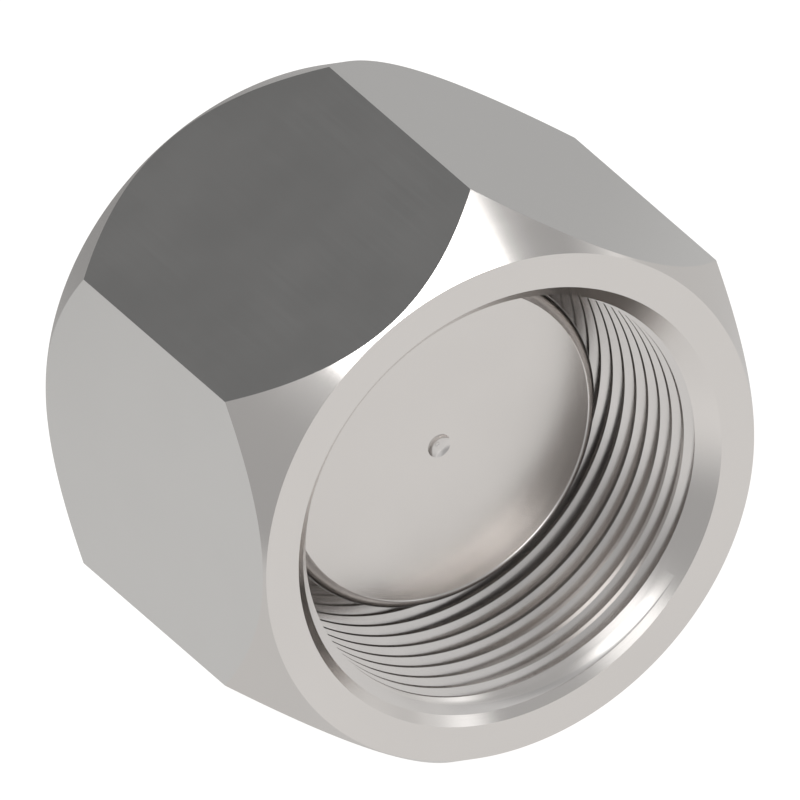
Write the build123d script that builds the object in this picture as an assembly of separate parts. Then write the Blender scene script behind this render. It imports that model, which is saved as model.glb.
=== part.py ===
from build123d import *
import math
import os

# Threaded protection cap, in millimetres: a hexagonal steel cap, turned from one piece of bar, that
# screws over a threaded spigot. A round boss stands inside it and enters the spigot's bore.
# The cap lies on one of its flats, with its mouth facing -Y. The origin is on the lower flat, midway
# along the cap. The functions below shape it upright, with its closed end on the XY plane and its
# mouth upwards, as it stands in a lathe's chuck, and lay_on_a_flat turns it over at the end.

# Inside thread, metric and right-handed. The solid's wall stands at the thread's crests.
thread_diameter = 30.0
thread_pitch = 1.5
thread_crest_flat = 0.25
thread_half_angle = 30.0

# Hexagon, 36 mm across its flats. The chamfer at each end is a cone round the axis.
flat_count = 6
wall_outside_thread = 3.0
end_face_inset = 0.12
chamfer_angle = 30.0

# Depths below the mouth, and the thickness under the slot's floor.
slot_depth = 20.0
base_thickness = 8.0
boss_setback = 9.0

# Mouth of the bore.
countersink_lip = 0.5
countersink_angle = 45.0

# Boss and the slot round it.
slot_width = 2.33
boss_edge_radius = 0.94
slot_corner_radius = 0.5

# Lathe centre mark in the middle of the boss, a shallow round dimple.
mark_diameter = 1.65
mark_depth = 0.25

# Worked out from the sizes above.
across_flats = thread_diameter + 2 * wall_outside_thread
corner_radius = across_flats / 2 / math.cos(math.pi / flat_count)
end_face_radius = across_flats / 2 - end_face_inset
length = base_thickness + slot_depth
boss_height = slot_depth - boss_setback
boss_top = length - boss_setback
# The root of the thread is flat over an eighth of its pitch.
thread_flank_width = (thread_pitch * 7 / 8 - thread_crest_flat) / 2
thread_depth = thread_flank_width / math.tan(math.radians(thread_half_angle))
bore_radius = thread_diameter / 2 - thread_depth
boss_radius = bore_radius - slot_width
countersink_radius = thread_diameter / 2 + countersink_lip
countersink_depth = (countersink_radius - bore_radius) / math.tan(math.radians(countersink_angle))

# How far a cutting tool's shape runs past the faces that it cuts.
overrun = 1.0


def turned(*outline):
    """The solid that an outline of (radius, height) points sweeps round the axis."""
    section = Plane.XZ * make_face(Polyline(*outline, close=True))
    return revolve(section, Axis.Z)


def hexagon_bar():
    """Plain hexagonal bar, with two corners on the X axis and two flats across the Y axis."""
    return extrude(RegularPolygon(radius=corner_radius, side_count=flat_count), amount=length)


def chamfered_envelope():
    """Barrel that both chamfers belong to. It is wider than the bar between them."""
    waist_radius = corner_radius + overrun
    slope_height = (waist_radius - end_face_radius) / math.tan(math.radians(chamfer_angle))
    return turned(
        (0, 0),
        (end_face_radius, 0),
        (waist_radius, slope_height),
        (waist_radius, length - slope_height),
        (end_face_radius, length),
        (0, length),
    )


def bore():
    """Blind bore with its countersink, as the shape that is cut away."""
    widening = overrun * math.tan(math.radians(countersink_angle))
    return turned(
        (0, base_thickness),
        (bore_radius, base_thickness),
        (bore_radius, length - countersink_depth),
        (countersink_radius + widening, length + overrun),
        (0, length + overrun),
    )


def centre_mark():
    """Ball that sinks the dimple into the boss."""
    ball_radius = ((mark_diameter / 2) ** 2 + mark_depth**2) / (2 * mark_depth)
    return Pos(0, 0, boss_top + ball_radius - mark_depth) * Sphere(ball_radius)


def boss():
    """Round boss with its free edge rounded. Its foot runs into the base, so the two are one."""
    full_height = boss_height + overrun
    post = Pos(0, 0, boss_top - full_height / 2) * Cylinder(boss_radius, full_height)
    rim = post.edges().group_by(Axis.Z)[-1]
    return fillet(rim, boss_edge_radius) - centre_mark()


def slot_corners(cap):
    """The two circles where the slot's walls meet its floor."""
    circles = cap.edges().filter_by(GeomType.CIRCLE)
    return circles.filter_by_position(Axis.Z, base_thickness, base_thickness)


def hex_cap():
    cap = (hexagon_bar() & chamfered_envelope()) - bore() + boss()
    return fillet(slot_corners(cap), slot_corner_radius)


def lay_on_a_flat(cap):
    """Turns the mouth from +Z to -Y, which leaves a flat facing down, and sets that flat at zero."""
    return Pos(0, length / 2, across_flats / 2) * Rot(90, 0, 0) * cap


os.makedirs("parts", exist_ok=True)
export_step(lay_on_a_flat(hex_cap()), "parts/hex_cap.step")
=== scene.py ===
import math

import bpy
import bmesh
from mathutils import Matrix, Vector


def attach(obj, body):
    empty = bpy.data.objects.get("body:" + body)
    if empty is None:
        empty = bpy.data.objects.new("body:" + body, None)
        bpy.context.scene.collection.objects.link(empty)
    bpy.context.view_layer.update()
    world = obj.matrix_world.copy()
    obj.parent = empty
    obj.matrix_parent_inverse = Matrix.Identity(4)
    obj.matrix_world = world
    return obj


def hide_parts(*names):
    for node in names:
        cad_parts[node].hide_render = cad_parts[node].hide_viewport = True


# Threaded protection cap, turned from one piece of stainless hexagonal bar. It lies on one of its
# flats with its mouth facing -Y. Its shape is worked out in millimetres round a lathe's axis, with
# the closed end at height 0 and the mouth upwards, and is then laid down into the frame.

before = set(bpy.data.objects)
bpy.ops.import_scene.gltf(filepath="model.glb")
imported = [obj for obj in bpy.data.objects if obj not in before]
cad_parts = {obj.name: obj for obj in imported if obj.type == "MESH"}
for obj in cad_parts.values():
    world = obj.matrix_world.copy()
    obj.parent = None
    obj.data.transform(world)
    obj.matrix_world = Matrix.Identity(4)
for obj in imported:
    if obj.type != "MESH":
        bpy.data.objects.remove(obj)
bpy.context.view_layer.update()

MM = 0.001
TURN = 2 * math.pi

# The same sizes as in the part's source, in millimetres and degrees.
PITCH = 1.5
THREAD_HALF_ANGLE = 30
CREST_RADIUS = 14.08
RIM_RADIUS = 15.5
ACROSS_FLATS = 36.0
END_FACE_RADIUS = 17.88
CHAMFER_ANGLE = 30
LENGTH = 28.0
SLOT_DEPTH = 20.0
BASE = 8.0
BOSS_TOP = 19.0
BOSS_RADIUS = 11.75
BOSS_EDGE = 0.94
SLOT_CORNER = 0.5
MARK_RADIUS = 0.825
MARK_DEPTH = 0.25

# The thread's profile. Its root is nearly sharp, and so a little wider than the nominal diameter.
CREST_FLAT = 0.31
ROOT_FLAT = 0.01

# The small point in the middle of the lathe centre's mark.
POINT_RADIUS = 0.16
POINT_DEPTH = 0.12

# The boss's edge is rounded up to this angle in degrees, and then comes a small lip, left by the tool
# round the face. Its corners run inwards. Each is given as its distances outwards from the circle
# that the rounding is centred on, and up from the face.
EDGE_END = 80
LIP = [(0.17, 0.08), (0.135, 0.03), (0.09, 0)]

# Worked out from the sizes above.
FLANK = (PITCH - CREST_FLAT - ROOT_FLAT) / 2
THREAD_HEIGHT = FLANK / math.tan(math.radians(THREAD_HALF_ANGLE))
CHAMFER_SLOPE = 1 / math.tan(math.radians(CHAMFER_ANGLE))
HEX_INRADIUS = ACROSS_FLATS / 2
WALL_END = SLOT_DEPTH - SLOT_CORNER

# Where the thread stands: the depth below the mouth of the middle of its first crest, at this
# angle round the axis. It runs out into the wall just above this depth.
THREAD_ANGLE = math.radians(280.89)
FIRST_CREST = 1.2
THREAD_END = 19.2
RUN_OUT = PITCH / 3

# Turns are numbered from the one that holds the first crest. Only this many of their corners, from
# the first one on, can meet the countersink.
TURNS = range(-2, 13)
CORNERS_AT_COUNTERSINK = 20

# How finely the shape is divided: columns round the axis, 600 so that they fall on the hexagon's
# corners, steps along each rounding, and rings on the closed end and on the boss's face, as radii.
COLUMNS = 600
SLOT_STEPS = 5
EDGE_STEPS = 12
MARK_STEPS = 6
END_RINGS = [6, 12]
FACE_RINGS = [7, 3]

# Points this near to each other, in metres, are one point. A point this near to the countersink, in
# millimetres, is on it. Edges sharper than this angle show as edges.
SAME_POINT = 1e-6
ON_COUNTERSINK = 1e-6
SHARP_ANGLE = math.radians(24)

# The steel's finishes: name, colour and roughness. A face's finish is its number in this list.
FINISHES = [
    ("turned_steel", (0.83, 0.8, 0.775, 1), 0.2),
    ("drawn_steel", (0.81, 0.8, 0.785, 1), 0.2),
    # The bore's steel and the crests' steel are the same steel made darker: painted shade on the
    # thread.
    ("bore_steel_painted_shade", (0.776, 0.752, 0.735, 1), 0.21),
    ("faced_steel", (0.83, 0.8, 0.775, 1), 0.24),
    ("crest_steel_painted_shade", (0.67, 0.65, 0.635, 1), 0.21),
]
TURNED, DRAWN, SHADED_BORE, FACED, CREST = range(5)

# Noise on the steel, as lumps to the metre and levels of detail: tool marks, grain, and patches. On
# the bar's drawn flats the marks are stretched along the bar.
MARKS = (5000, 2)
GRAIN = (6000, 1)
PATCHES = (150, 3)
DRAWN_STRETCH = (1, 0.02, 1)

# The height of the marks in metres, the grain's height as a share of it, the range of the patches'
# noise that counts, and how far marks and patches each shift the roughness up and down.
MARK_HEIGHT = 0.000001
GRAIN_SHARE = 0.6
PATCH_RANGE = (0.3, 0.7)
UNEVEN = 0.02

# The floor: half its width in metres, its brightness without the painted shade and light below and
# its colour, as the metal shows them, its brightness to the camera, which sees it white, and its
# colour under the light of the room. This share of what the camera and the metal see is glow, so the
# cap's shadow is faint.
FLOOR_HALF = 3.0
FLOOR_BRIGHT = 0.71
FLOOR_COLOUR = (1, 0.99, 0.98, 1)
FLOOR_WHITE = 1.1
FLOOR_DULL = (0.92, 0.92, 0.92, 1)
FLOOR_SHARE = 0.92

# Painted shade and painted light on the floor's glow as the metal shows it: its brightness changes
# away from the cap. Towards an angle from -Y, in degrees, it goes over to a share of itself between
# two distances in metres, below 1 a painted shadow and above 1 a painted pool of light.
PAINTED_FLOOR_LIGHT_AND_SHADE = [
    (-90, 0.01, 0.03, 1.07),
    (-150, -0.01, 0.012, 0.75),
    (120, 0.0, 0.03, 0.76),
    (72, 0.12, 0.3, 1.7),
]

# Behind the cap a painted shadow darkens it once more, in a wedge that opens backwards: the two
# distances are counted backwards, less this much of the distance to the side.
PAINTED_SHADOW_SHARE = 0.62
WEDGE_START = 0.02
WEDGE_END = 0.095
WEDGE_SLOPE = 0.8

# The room: its brightness, and its brightness behind the cap, which is towards this angle from -Y.
# It goes over from one to the other while a direction's reach towards that angle is in this range.
ROOM = 0.4
ROOM_BEHIND = 0.158
BEHIND_ANGLE = 171
BEHIND_RANGE = (0.1, 0.7)

# The bright band along the horizon: its brightness, and how high it reaches.
HORIZON = 0.62
HORIZON_HEIGHT = 0.24

# Lights in the studio: the longitude and latitude that each one faces from, the longitude that its
# width runs in, its half width, half height and soft edge at a distance of 1, and its strength. They
# are the light overhead, its glow, a light high in front, a faint one low in front, and a low one on
# the right.
LIGHTS = [
    ((90, 70), 90, 0.64, 0.28, 0.04, 4.0),
    ((90, 75), 90, 1.0, 0.6, 0.35, 0.12),
    ((-4, 39), 86, 0.24, 0.16, 0.15, 1.9),
    ((32, 8), 122, 0.35, 0.13, 0.13, 0.34),
    ((68, 7), 158, 0.14, 0.22, 0.1, 1.0),
]

# The least that a direction counts as reaching towards a light. One that points away from the light
# then falls far outside its rectangle.
LEAST_AHEAD = 0.001

# The photo's view: unit vectors to its right, upwards in it and back to the camera. In metres, the
# width that it shows, how far the middle of the mouth is to the right of and below the middle of
# the picture, and the camera's distance.
VIEW_RIGHT = Vector((0.75, -0.5, -0.4330127))
VIEW_UP = Vector((0.6495191, 0.4330127, 0.625))
VIEW_BACK = Vector((-0.125, -0.75, 0.6495191))
VIEW_WIDTH = 0.05077
MOUTH_RIGHT = 0.006993
MOUTH_BELOW = 0.006803
CAMERA_DISTANCE = 0.3


def hex_radius(angle):
    """Distance from the axis to the flat or corner at this angle."""
    sector = math.radians(60)
    from_middle = (angle - math.pi / 2 + sector / 2) % sector - sector / 2
    return HEX_INRADIUS / math.cos(from_middle)


def outside(angle):
    """Points from the middle of the closed end, over a flat or corner, to the mouth's flat face."""
    hexagon = hex_radius(angle)
    chamfer = (hexagon - END_FACE_RADIUS) * CHAMFER_SLOPE
    closed_end = [(radius, 0) for radius in [0] + END_RINGS + [END_FACE_RADIUS]]
    side = [(hexagon, chamfer), (hexagon, LENGTH - chamfer)]
    return closed_end + side + [(END_FACE_RADIUS, LENGTH)]


def run_out(depth):
    """How much of its full height the thread has at this depth, from 1 to 0."""
    return min(1, max(0, (THREAD_END - depth) / RUN_OUT))


def turn_corners(middle):
    """The corners of one turn as (depth, radius). Its crest's middle is at this depth."""
    height_before = run_out(middle - PITCH / 2)
    height = run_out(middle + PITCH / 2)
    half_root = ROOT_FLAT / 2
    front = middle - PITCH / 2 + half_root + FLANK * height_before
    back = middle + PITCH / 2 - half_root - FLANK * height
    root = CREST_RADIUS + THREAD_HEIGHT * height
    return [
        (front, CREST_RADIUS),
        (back, CREST_RADIUS),
        (middle + PITCH / 2 - half_root, root),
        (middle + PITCH / 2 + half_root, root),
    ]


def cut_by_countersink(depth, radius):
    """A point of the thread, moved out to the countersink where that has taken it away."""
    depth = min(WALL_END, max(0, depth))
    return (max(radius, RIM_RADIUS - depth), LENGTH - depth)


def crossing(first, second):
    """Where the countersink crosses the line between two corners, or the nearer of the two."""
    over = [radius - (RIM_RADIUS - depth) for depth, radius in (first, second)]
    share = min(1, max(0, over[0] / (over[0] - over[1])))
    return [a + (b - a) * share for a, b in zip(first, second)]


def threaded_wall(angle):
    """Points down the wall of the bore, from the rim of the mouth to the slot's corner."""
    shift = PITCH * (angle - THREAD_ANGLE) / TURN
    corners = []
    for turn in TURNS:
        corners += turn_corners(FIRST_CREST + turn * PITCH - shift)
    points = [(RIM_RADIUS, LENGTH)]
    for i, corner in enumerate(corners):
        points.append(cut_by_countersink(*corner))
        if i < CORNERS_AT_COUNTERSINK:
            points.append(cut_by_countersink(*crossing(corner, corners[i + 1])))
    points.append((CREST_RADIUS, LENGTH - WALL_END))
    return points


def arc(centre, radius, start, end, steps):
    """Points on a circle, without its first one. Angles are in degrees from the outward radius."""
    points = []
    for i in range(1, steps + 1):
        a = math.radians(start + (end - start) * i / steps)
        points.append((centre[0] + radius * math.cos(a), centre[1] + radius * math.sin(a)))
    return points


def slot():
    """Points from the wall's foot, across the slot's floor, to the foot of the boss."""
    foot = BASE + SLOT_CORNER
    points = arc((CREST_RADIUS - SLOT_CORNER, foot), SLOT_CORNER, 0, -90, SLOT_STEPS)
    points.append((BOSS_RADIUS + SLOT_CORNER, BASE))
    return points + arc((BOSS_RADIUS + SLOT_CORNER, foot), SLOT_CORNER, -90, -180, SLOT_STEPS)


def boss():
    """Points up the boss's side, over its rounded edge and its face, to its middle."""
    foot = BASE + SLOT_CORNER
    edge = (BOSS_RADIUS - BOSS_EDGE, BOSS_TOP - BOSS_EDGE)
    points = [(BOSS_RADIUS, (foot + edge[1]) / 2), (BOSS_RADIUS, edge[1])]
    points += arc(edge, BOSS_EDGE, 0, EDGE_END, EDGE_STEPS)
    points += [(edge[0] + outwards, BOSS_TOP + upwards) for outwards, upwards in LIP]
    return points + [(radius, BOSS_TOP) for radius in FACE_RINGS] + centre_mark()


def centre_mark():
    """Points from the mark's rim to the axis: a shallow bowl with a small point in its middle."""
    ball = (MARK_RADIUS**2 + MARK_DEPTH**2) / (2 * MARK_DEPTH)
    rim, point = [-math.degrees(math.acos(r / ball)) for r in (MARK_RADIUS, POINT_RADIUS)]
    bowl = arc((0, BOSS_TOP + ball - MARK_DEPTH), ball, rim, point, MARK_STEPS)
    return [(MARK_RADIUS, BOSS_TOP)] + bowl + [(0, bowl[-1][1] - POINT_DEPTH)]


def lay_down(radius, height, angle):
    """A point of the lathe's frame in the part's frame, in metres."""
    x, y = radius * math.cos(angle), radius * math.sin(angle)
    return Vector((x, LENGTH / 2 - height, HEX_INRADIUS + y)) * MM


def on_countersink(radius, height):
    """Whether a point of the outline is on the countersink's cone."""
    return abs(radius - height - RIM_RADIUS + LENGTH) <= ON_COUNTERSINK


def finish(first, second):
    """Number of the finish between two points of the outline, each given as (radius, height)."""
    if min(first[0], second[0]) > END_FACE_RADIUS:
        return DRAWN
    if first[1] == second[1] == BOSS_TOP:
        return FACED
    # The crests and the rest of the bore get the darker copies of the steel, which paint shade on the
    # thread.
    if first[0] == second[0] == CREST_RADIUS:
        return CREST
    if on_countersink(*first) and on_countersink(*second):
        return TURNED
    inside_bore = min(first[1], second[1]) >= BASE and max(first[0], second[0]) < RIM_RADIUS
    return SHADED_BORE if inside_bore else TURNED


def join_columns(mesh, left, right, outline):
    """Faces between two columns of points, each with its finish."""
    for j in range(len(left) - 1):
        face = mesh.faces.new((left[j], right[j], right[j + 1], left[j + 1]))
        face.material_index = finish(outline[j], outline[j + 1])


def cap_mesh():
    """The whole cap as one closed mesh, column by column round the axis."""
    mesh = bmesh.new()
    inner = slot() + boss()
    columns = []
    outlines = []
    for i in range(COLUMNS + 1):
        angle = TURN * i / COLUMNS
        outline = outside(angle) + threaded_wall(angle) + inner
        columns.append([mesh.verts.new(lay_down(r, h, angle)) for r, h in outline])
        outlines.append(outline)
    for left, right, outline in zip(columns, columns[1:], outlines):
        join_columns(mesh, left, right, outline)
    bmesh.ops.remove_doubles(mesh, verts=mesh.verts, dist=SAME_POINT)
    bmesh.ops.dissolve_degenerate(mesh, edges=mesh.edges, dist=SAME_POINT / 10)
    bmesh.ops.recalc_face_normals(mesh, faces=mesh.faces)
    data = bpy.data.meshes.new("threaded_cap")
    mesh.to_mesh(data)
    mesh.free()
    data.shade_smooth()
    data.set_sharp_from_angle(angle=SHARP_ANGLE)
    return data


def add_to_scene(name, data):
    """A new object in the scene."""
    made = bpy.data.objects.new(name, data)
    bpy.context.scene.collection.objects.link(made)
    return made


def heading(longitude, latitude=0.0):
    """Unit vector at an angle from -Y towards +X, and at an angle above the horizon."""
    a, b = math.radians(longitude), math.radians(latitude)
    return Vector((math.sin(a) * math.cos(b), -math.cos(a) * math.cos(b), math.sin(b)))


def node(tree, kind, **settings):
    """A new node in a tree, with its settings."""
    made = tree.nodes.new(kind)
    for key, value in settings.items():
        setattr(made, key, value)
    return made


def math_node(tree, operation, first, second=0.0):
    """One sum in a node tree. Each input is a number or another node's output."""
    made = node(tree, "ShaderNodeMath", operation=operation)
    for socket, value in zip(made.inputs, (first, second)):
        if isinstance(value, (int, float)):
            socket.default_value = value
        else:
            tree.links.new(value, socket)
    return made.outputs[0]


def ramp(tree, value, start, end, low=0.0, high=1.0):
    """Runs smoothly from low to high as the value goes from start to end."""
    made = node(tree, "ShaderNodeMapRange", interpolation_type="SMOOTHSTEP")
    tree.links.new(value, made.inputs["Value"])
    for key, number in (("From Min", start), ("From Max", end), ("To Min", low), ("To Max", high)):
        made.inputs[key].default_value = number
    return made.outputs["Result"]


def vector_node(tree, operation, first, second=(0, 0, 0)):
    """One sum of vectors. The first is a node's output, the second a fixed vector."""
    made = node(tree, "ShaderNodeVectorMath", operation=operation)
    tree.links.new(first, made.inputs[0])
    made.inputs[1].default_value = second
    return made


def along(tree, vector, direction):
    """How far a vector reaches in a direction."""
    return vector_node(tree, "DOT_PRODUCT", vector, direction).outputs["Value"]


def round_the_axis(tree, place):
    """The place as its distance from the cap's axis and its depth, so that marks made of it run
    round the axis."""
    from_axis = vector_node(tree, "SUBTRACT", place, (0, 0, HEX_INRADIUS * MM)).outputs[0]
    across = vector_node(tree, "MULTIPLY", from_axis, (1, 0, 1)).outputs[0]
    made = node(tree, "ShaderNodeCombineXYZ")
    tree.links.new(vector_node(tree, "LENGTH", across).outputs["Value"], made.inputs["X"])
    tree.links.new(along(tree, place, (0, 1, 0)), made.inputs["Y"])
    return made.outputs[0]


def noise(tree, place, scale, detail):
    """Noise with this many lumps in a metre, from 0 to 1."""
    made = node(tree, "ShaderNodeTexNoise")
    tree.links.new(place, made.inputs["Vector"])
    made.inputs["Scale"].default_value = scale
    made.inputs["Detail"].default_value = detail
    return made.outputs[0]


def tool_marks(tree, name, place):
    """Fine marks that run round the axis, and lengthwise on the bar's drawn flats."""
    if name == "drawn_steel":
        lines = vector_node(tree, "MULTIPLY", place, DRAWN_STRETCH).outputs[0]
    else:
        lines = round_the_axis(tree, place)
    return noise(tree, lines, *MARKS)


def relief(tree, marks, grain):
    """The surface's normal, tilted by its marks and grain."""
    height = math_node(tree, "ADD", marks, math_node(tree, "MULTIPLY", grain, GRAIN_SHARE))
    bump = node(tree, "ShaderNodeBump")
    bump.inputs["Distance"].default_value = MARK_HEIGHT
    tree.links.new(height, bump.inputs["Height"])
    return bump.outputs[0]


def steel(name, colour, roughness):
    """Bright stainless steel, slightly warm, with tool marks, fine grain and slightly uneven
    polish."""
    material = bpy.data.materials.new(name)
    material.use_nodes = True
    tree = material.node_tree
    place = node(tree, "ShaderNodeTexCoord").outputs["Object"]
    marks = tool_marks(tree, name, place)
    grain = noise(tree, place, *GRAIN)
    patches = noise(tree, place, *PATCHES)
    by_patches = ramp(tree, patches, *PATCH_RANGE, -UNEVEN, UNEVEN)
    by_marks = ramp(tree, marks, 0, 1, -UNEVEN, UNEVEN)
    uneven = math_node(tree, "ADD", by_patches, by_marks)
    shader = tree.nodes["Principled BSDF"]
    shader.inputs["Metallic"].default_value = 1.0
    shader.inputs["Base Color"].default_value = colour
    tree.links.new(math_node(tree, "ADD", uneven, roughness), shader.inputs["Roughness"])
    tree.links.new(relief(tree, marks, grain), shader.inputs["Normal"])
    return material


def painted_floor_brightness(tree):
    """How bright the floor shows in the metal, with painted shadows round and behind the cap and
    painted light further out.
    """
    place = node(tree, "ShaderNodeNewGeometry").outputs["Position"]
    brightness = FLOOR_BRIGHT
    for angle, start, end, share in PAINTED_FLOOR_LIGHT_AND_SHADE:
        shade = ramp(tree, along(tree, place, heading(angle)), start, end, 1, share)
        brightness = math_node(tree, "MULTIPLY", shade, brightness)
    to_side = math_node(tree, "ABSOLUTE", along(tree, place, (1, 0, 0)))
    less = math_node(tree, "MULTIPLY", to_side, WEDGE_SLOPE)
    backwards = math_node(tree, "SUBTRACT", along(tree, place, (0, 1, 0)), less)
    shade = ramp(tree, backwards, WEDGE_START, WEDGE_END, 1, PAINTED_SHADOW_SHARE)
    return math_node(tree, "MULTIPLY", shade, brightness)


def white_floor():
    """The floor's material: white to the camera, with painted shade and light in the metal."""
    material = bpy.data.materials.new("white_floor")
    material.use_nodes = True
    tree = material.node_tree
    tree.nodes.clear()
    path = node(tree, "ShaderNodeLightPath").outputs
    white = math_node(tree, "MULTIPLY", path["Is Camera Ray"], FLOOR_WHITE)
    glow = node(tree, "ShaderNodeEmission")
    glow.inputs["Color"].default_value = FLOOR_COLOUR
    strength = math_node(tree, "MAXIMUM", white, painted_floor_brightness(tree))
    tree.links.new(strength, glow.inputs["Strength"])
    diffuse = node(tree, "ShaderNodeBsdfDiffuse")
    diffuse.inputs["Color"].default_value = FLOOR_DULL
    seen = math_node(tree, "MAXIMUM", path["Is Camera Ray"], path["Is Glossy Ray"])
    mix = node(tree, "ShaderNodeMixShader")
    tree.links.new(math_node(tree, "MULTIPLY", seen, FLOOR_SHARE), mix.inputs[0])
    tree.links.new(diffuse.outputs[0], mix.inputs[1])
    tree.links.new(glow.outputs[0], mix.inputs[2])
    out = node(tree, "ShaderNodeOutputMaterial")
    tree.links.new(mix.outputs[0], out.inputs["Surface"])
    return material


def floor():
    """Large white floor. It keeps the cap's soft shadow."""
    data = bpy.data.meshes.new("floor")
    half = FLOOR_HALF
    corners = [(-half, -half, 0), (half, -half, 0), (half, half, 0), (-half, half, 0)]
    data.from_pydata(corners, [], [(0, 1, 2, 3)])
    data.materials.append(white_floor())
    made = add_to_scene("floor", data)


def camera():
    """Parallel view at the photo's angle."""
    data = bpy.data.cameras.new("camera")
    data.type = "ORTHO"
    data.ortho_scale = VIEW_WIDTH
    data.clip_start = 0.001
    data.clip_end = 10
    made = add_to_scene("camera", data)
    mouth = Vector((0, -LENGTH / 2, HEX_INRADIUS)) * MM
    aim = mouth - MOUTH_RIGHT * VIEW_RIGHT + MOUTH_BELOW * VIEW_UP
    place = Matrix((VIEW_RIGHT, VIEW_UP, VIEW_BACK)).transposed().to_4x4()
    place.translation = aim + VIEW_BACK * CAMERA_DISTANCE
    made.matrix_world = place
    bpy.context.scene.camera = made


def panel(tree, direction, facing, across, width, height, soft):
    """1 inside a rectangular light that faces the cap from a direction, 0 outside its soft edge."""
    right = (across - facing * across.dot(facing)).normalized()
    up = right.cross(facing).normalized()
    ahead = math_node(tree, "MAXIMUM", along(tree, direction, facing), LEAST_AHEAD)
    inside = 1.0
    for axis, half in ((right, width), (up, height)):
        off = math_node(tree, "DIVIDE", along(tree, direction, axis), ahead)
        off = math_node(tree, "ABSOLUTE", off)
        within = ramp(tree, off, half - soft, half + soft, 1, 0)
        inside = math_node(tree, "MULTIPLY", inside, within)
    return inside


def room_brightness(tree, direction):
    """The grey room with its lights."""
    behind = ramp(tree, along(tree, direction, heading(BEHIND_ANGLE)), *BEHIND_RANGE)
    drop = math_node(tree, "MULTIPLY", behind, ROOM - ROOM_BEHIND)
    room = math_node(tree, "SUBTRACT", ROOM, drop)
    for facing, across, width, height, soft, strength in LIGHTS:
        shape = panel(tree, direction, heading(*facing), heading(across), width, height, soft)
        room = math_node(tree, "ADD", room, math_node(tree, "MULTIPLY", shape, strength))
    return room


def horizon_lift(tree, direction, room):
    """What the bright band along the horizon adds to the room."""
    low = ramp(tree, along(tree, direction, (0, 0, 1)), 0.0, HORIZON_HEIGHT, 1, 0)
    return math_node(tree, "MULTIPLY", low, math_node(tree, "SUBTRACT", HORIZON, room))


def studio():
    """Soft grey room with its lights, and in the metal a bright horizon too. The camera sees it
    white."""
    world = bpy.data.worlds.new("studio")
    bpy.context.scene.world = world
    world.use_nodes = True
    tree = world.node_tree
    tree.nodes.clear()
    direction = node(tree, "ShaderNodeTexCoord").outputs["Generated"]
    path = node(tree, "ShaderNodeLightPath").outputs
    room = room_brightness(tree, direction)
    lift = horizon_lift(tree, direction, room)
    lift = math_node(tree, "MULTIPLY", path["Is Glossy Ray"], lift)
    lit = math_node(tree, "ADD", room, lift)
    background = node(tree, "ShaderNodeBackground")
    background.inputs["Color"].default_value = (1, 1, 1, 1)
    strength = math_node(tree, "MAXIMUM", path["Is Camera Ray"], lit)
    tree.links.new(strength, background.inputs["Strength"])
    out = node(tree, "ShaderNodeOutputWorld")
    tree.links.new(background.outputs[0], out.inputs["Surface"])


cap = add_to_scene("threaded_cap", cap_mesh())
for name, colour, roughness in FINISHES:
    cap.data.materials.append(steel(name, colour, roughness))
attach(cap, "root")
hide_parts("hex_cap")

floor()
camera()
studio()

scene = bpy.context.scene
scene.view_settings.view_transform = "Standard"
# The thread, the slot and the boss show each other many times over.
scene.cycles.glossy_bounces = 8
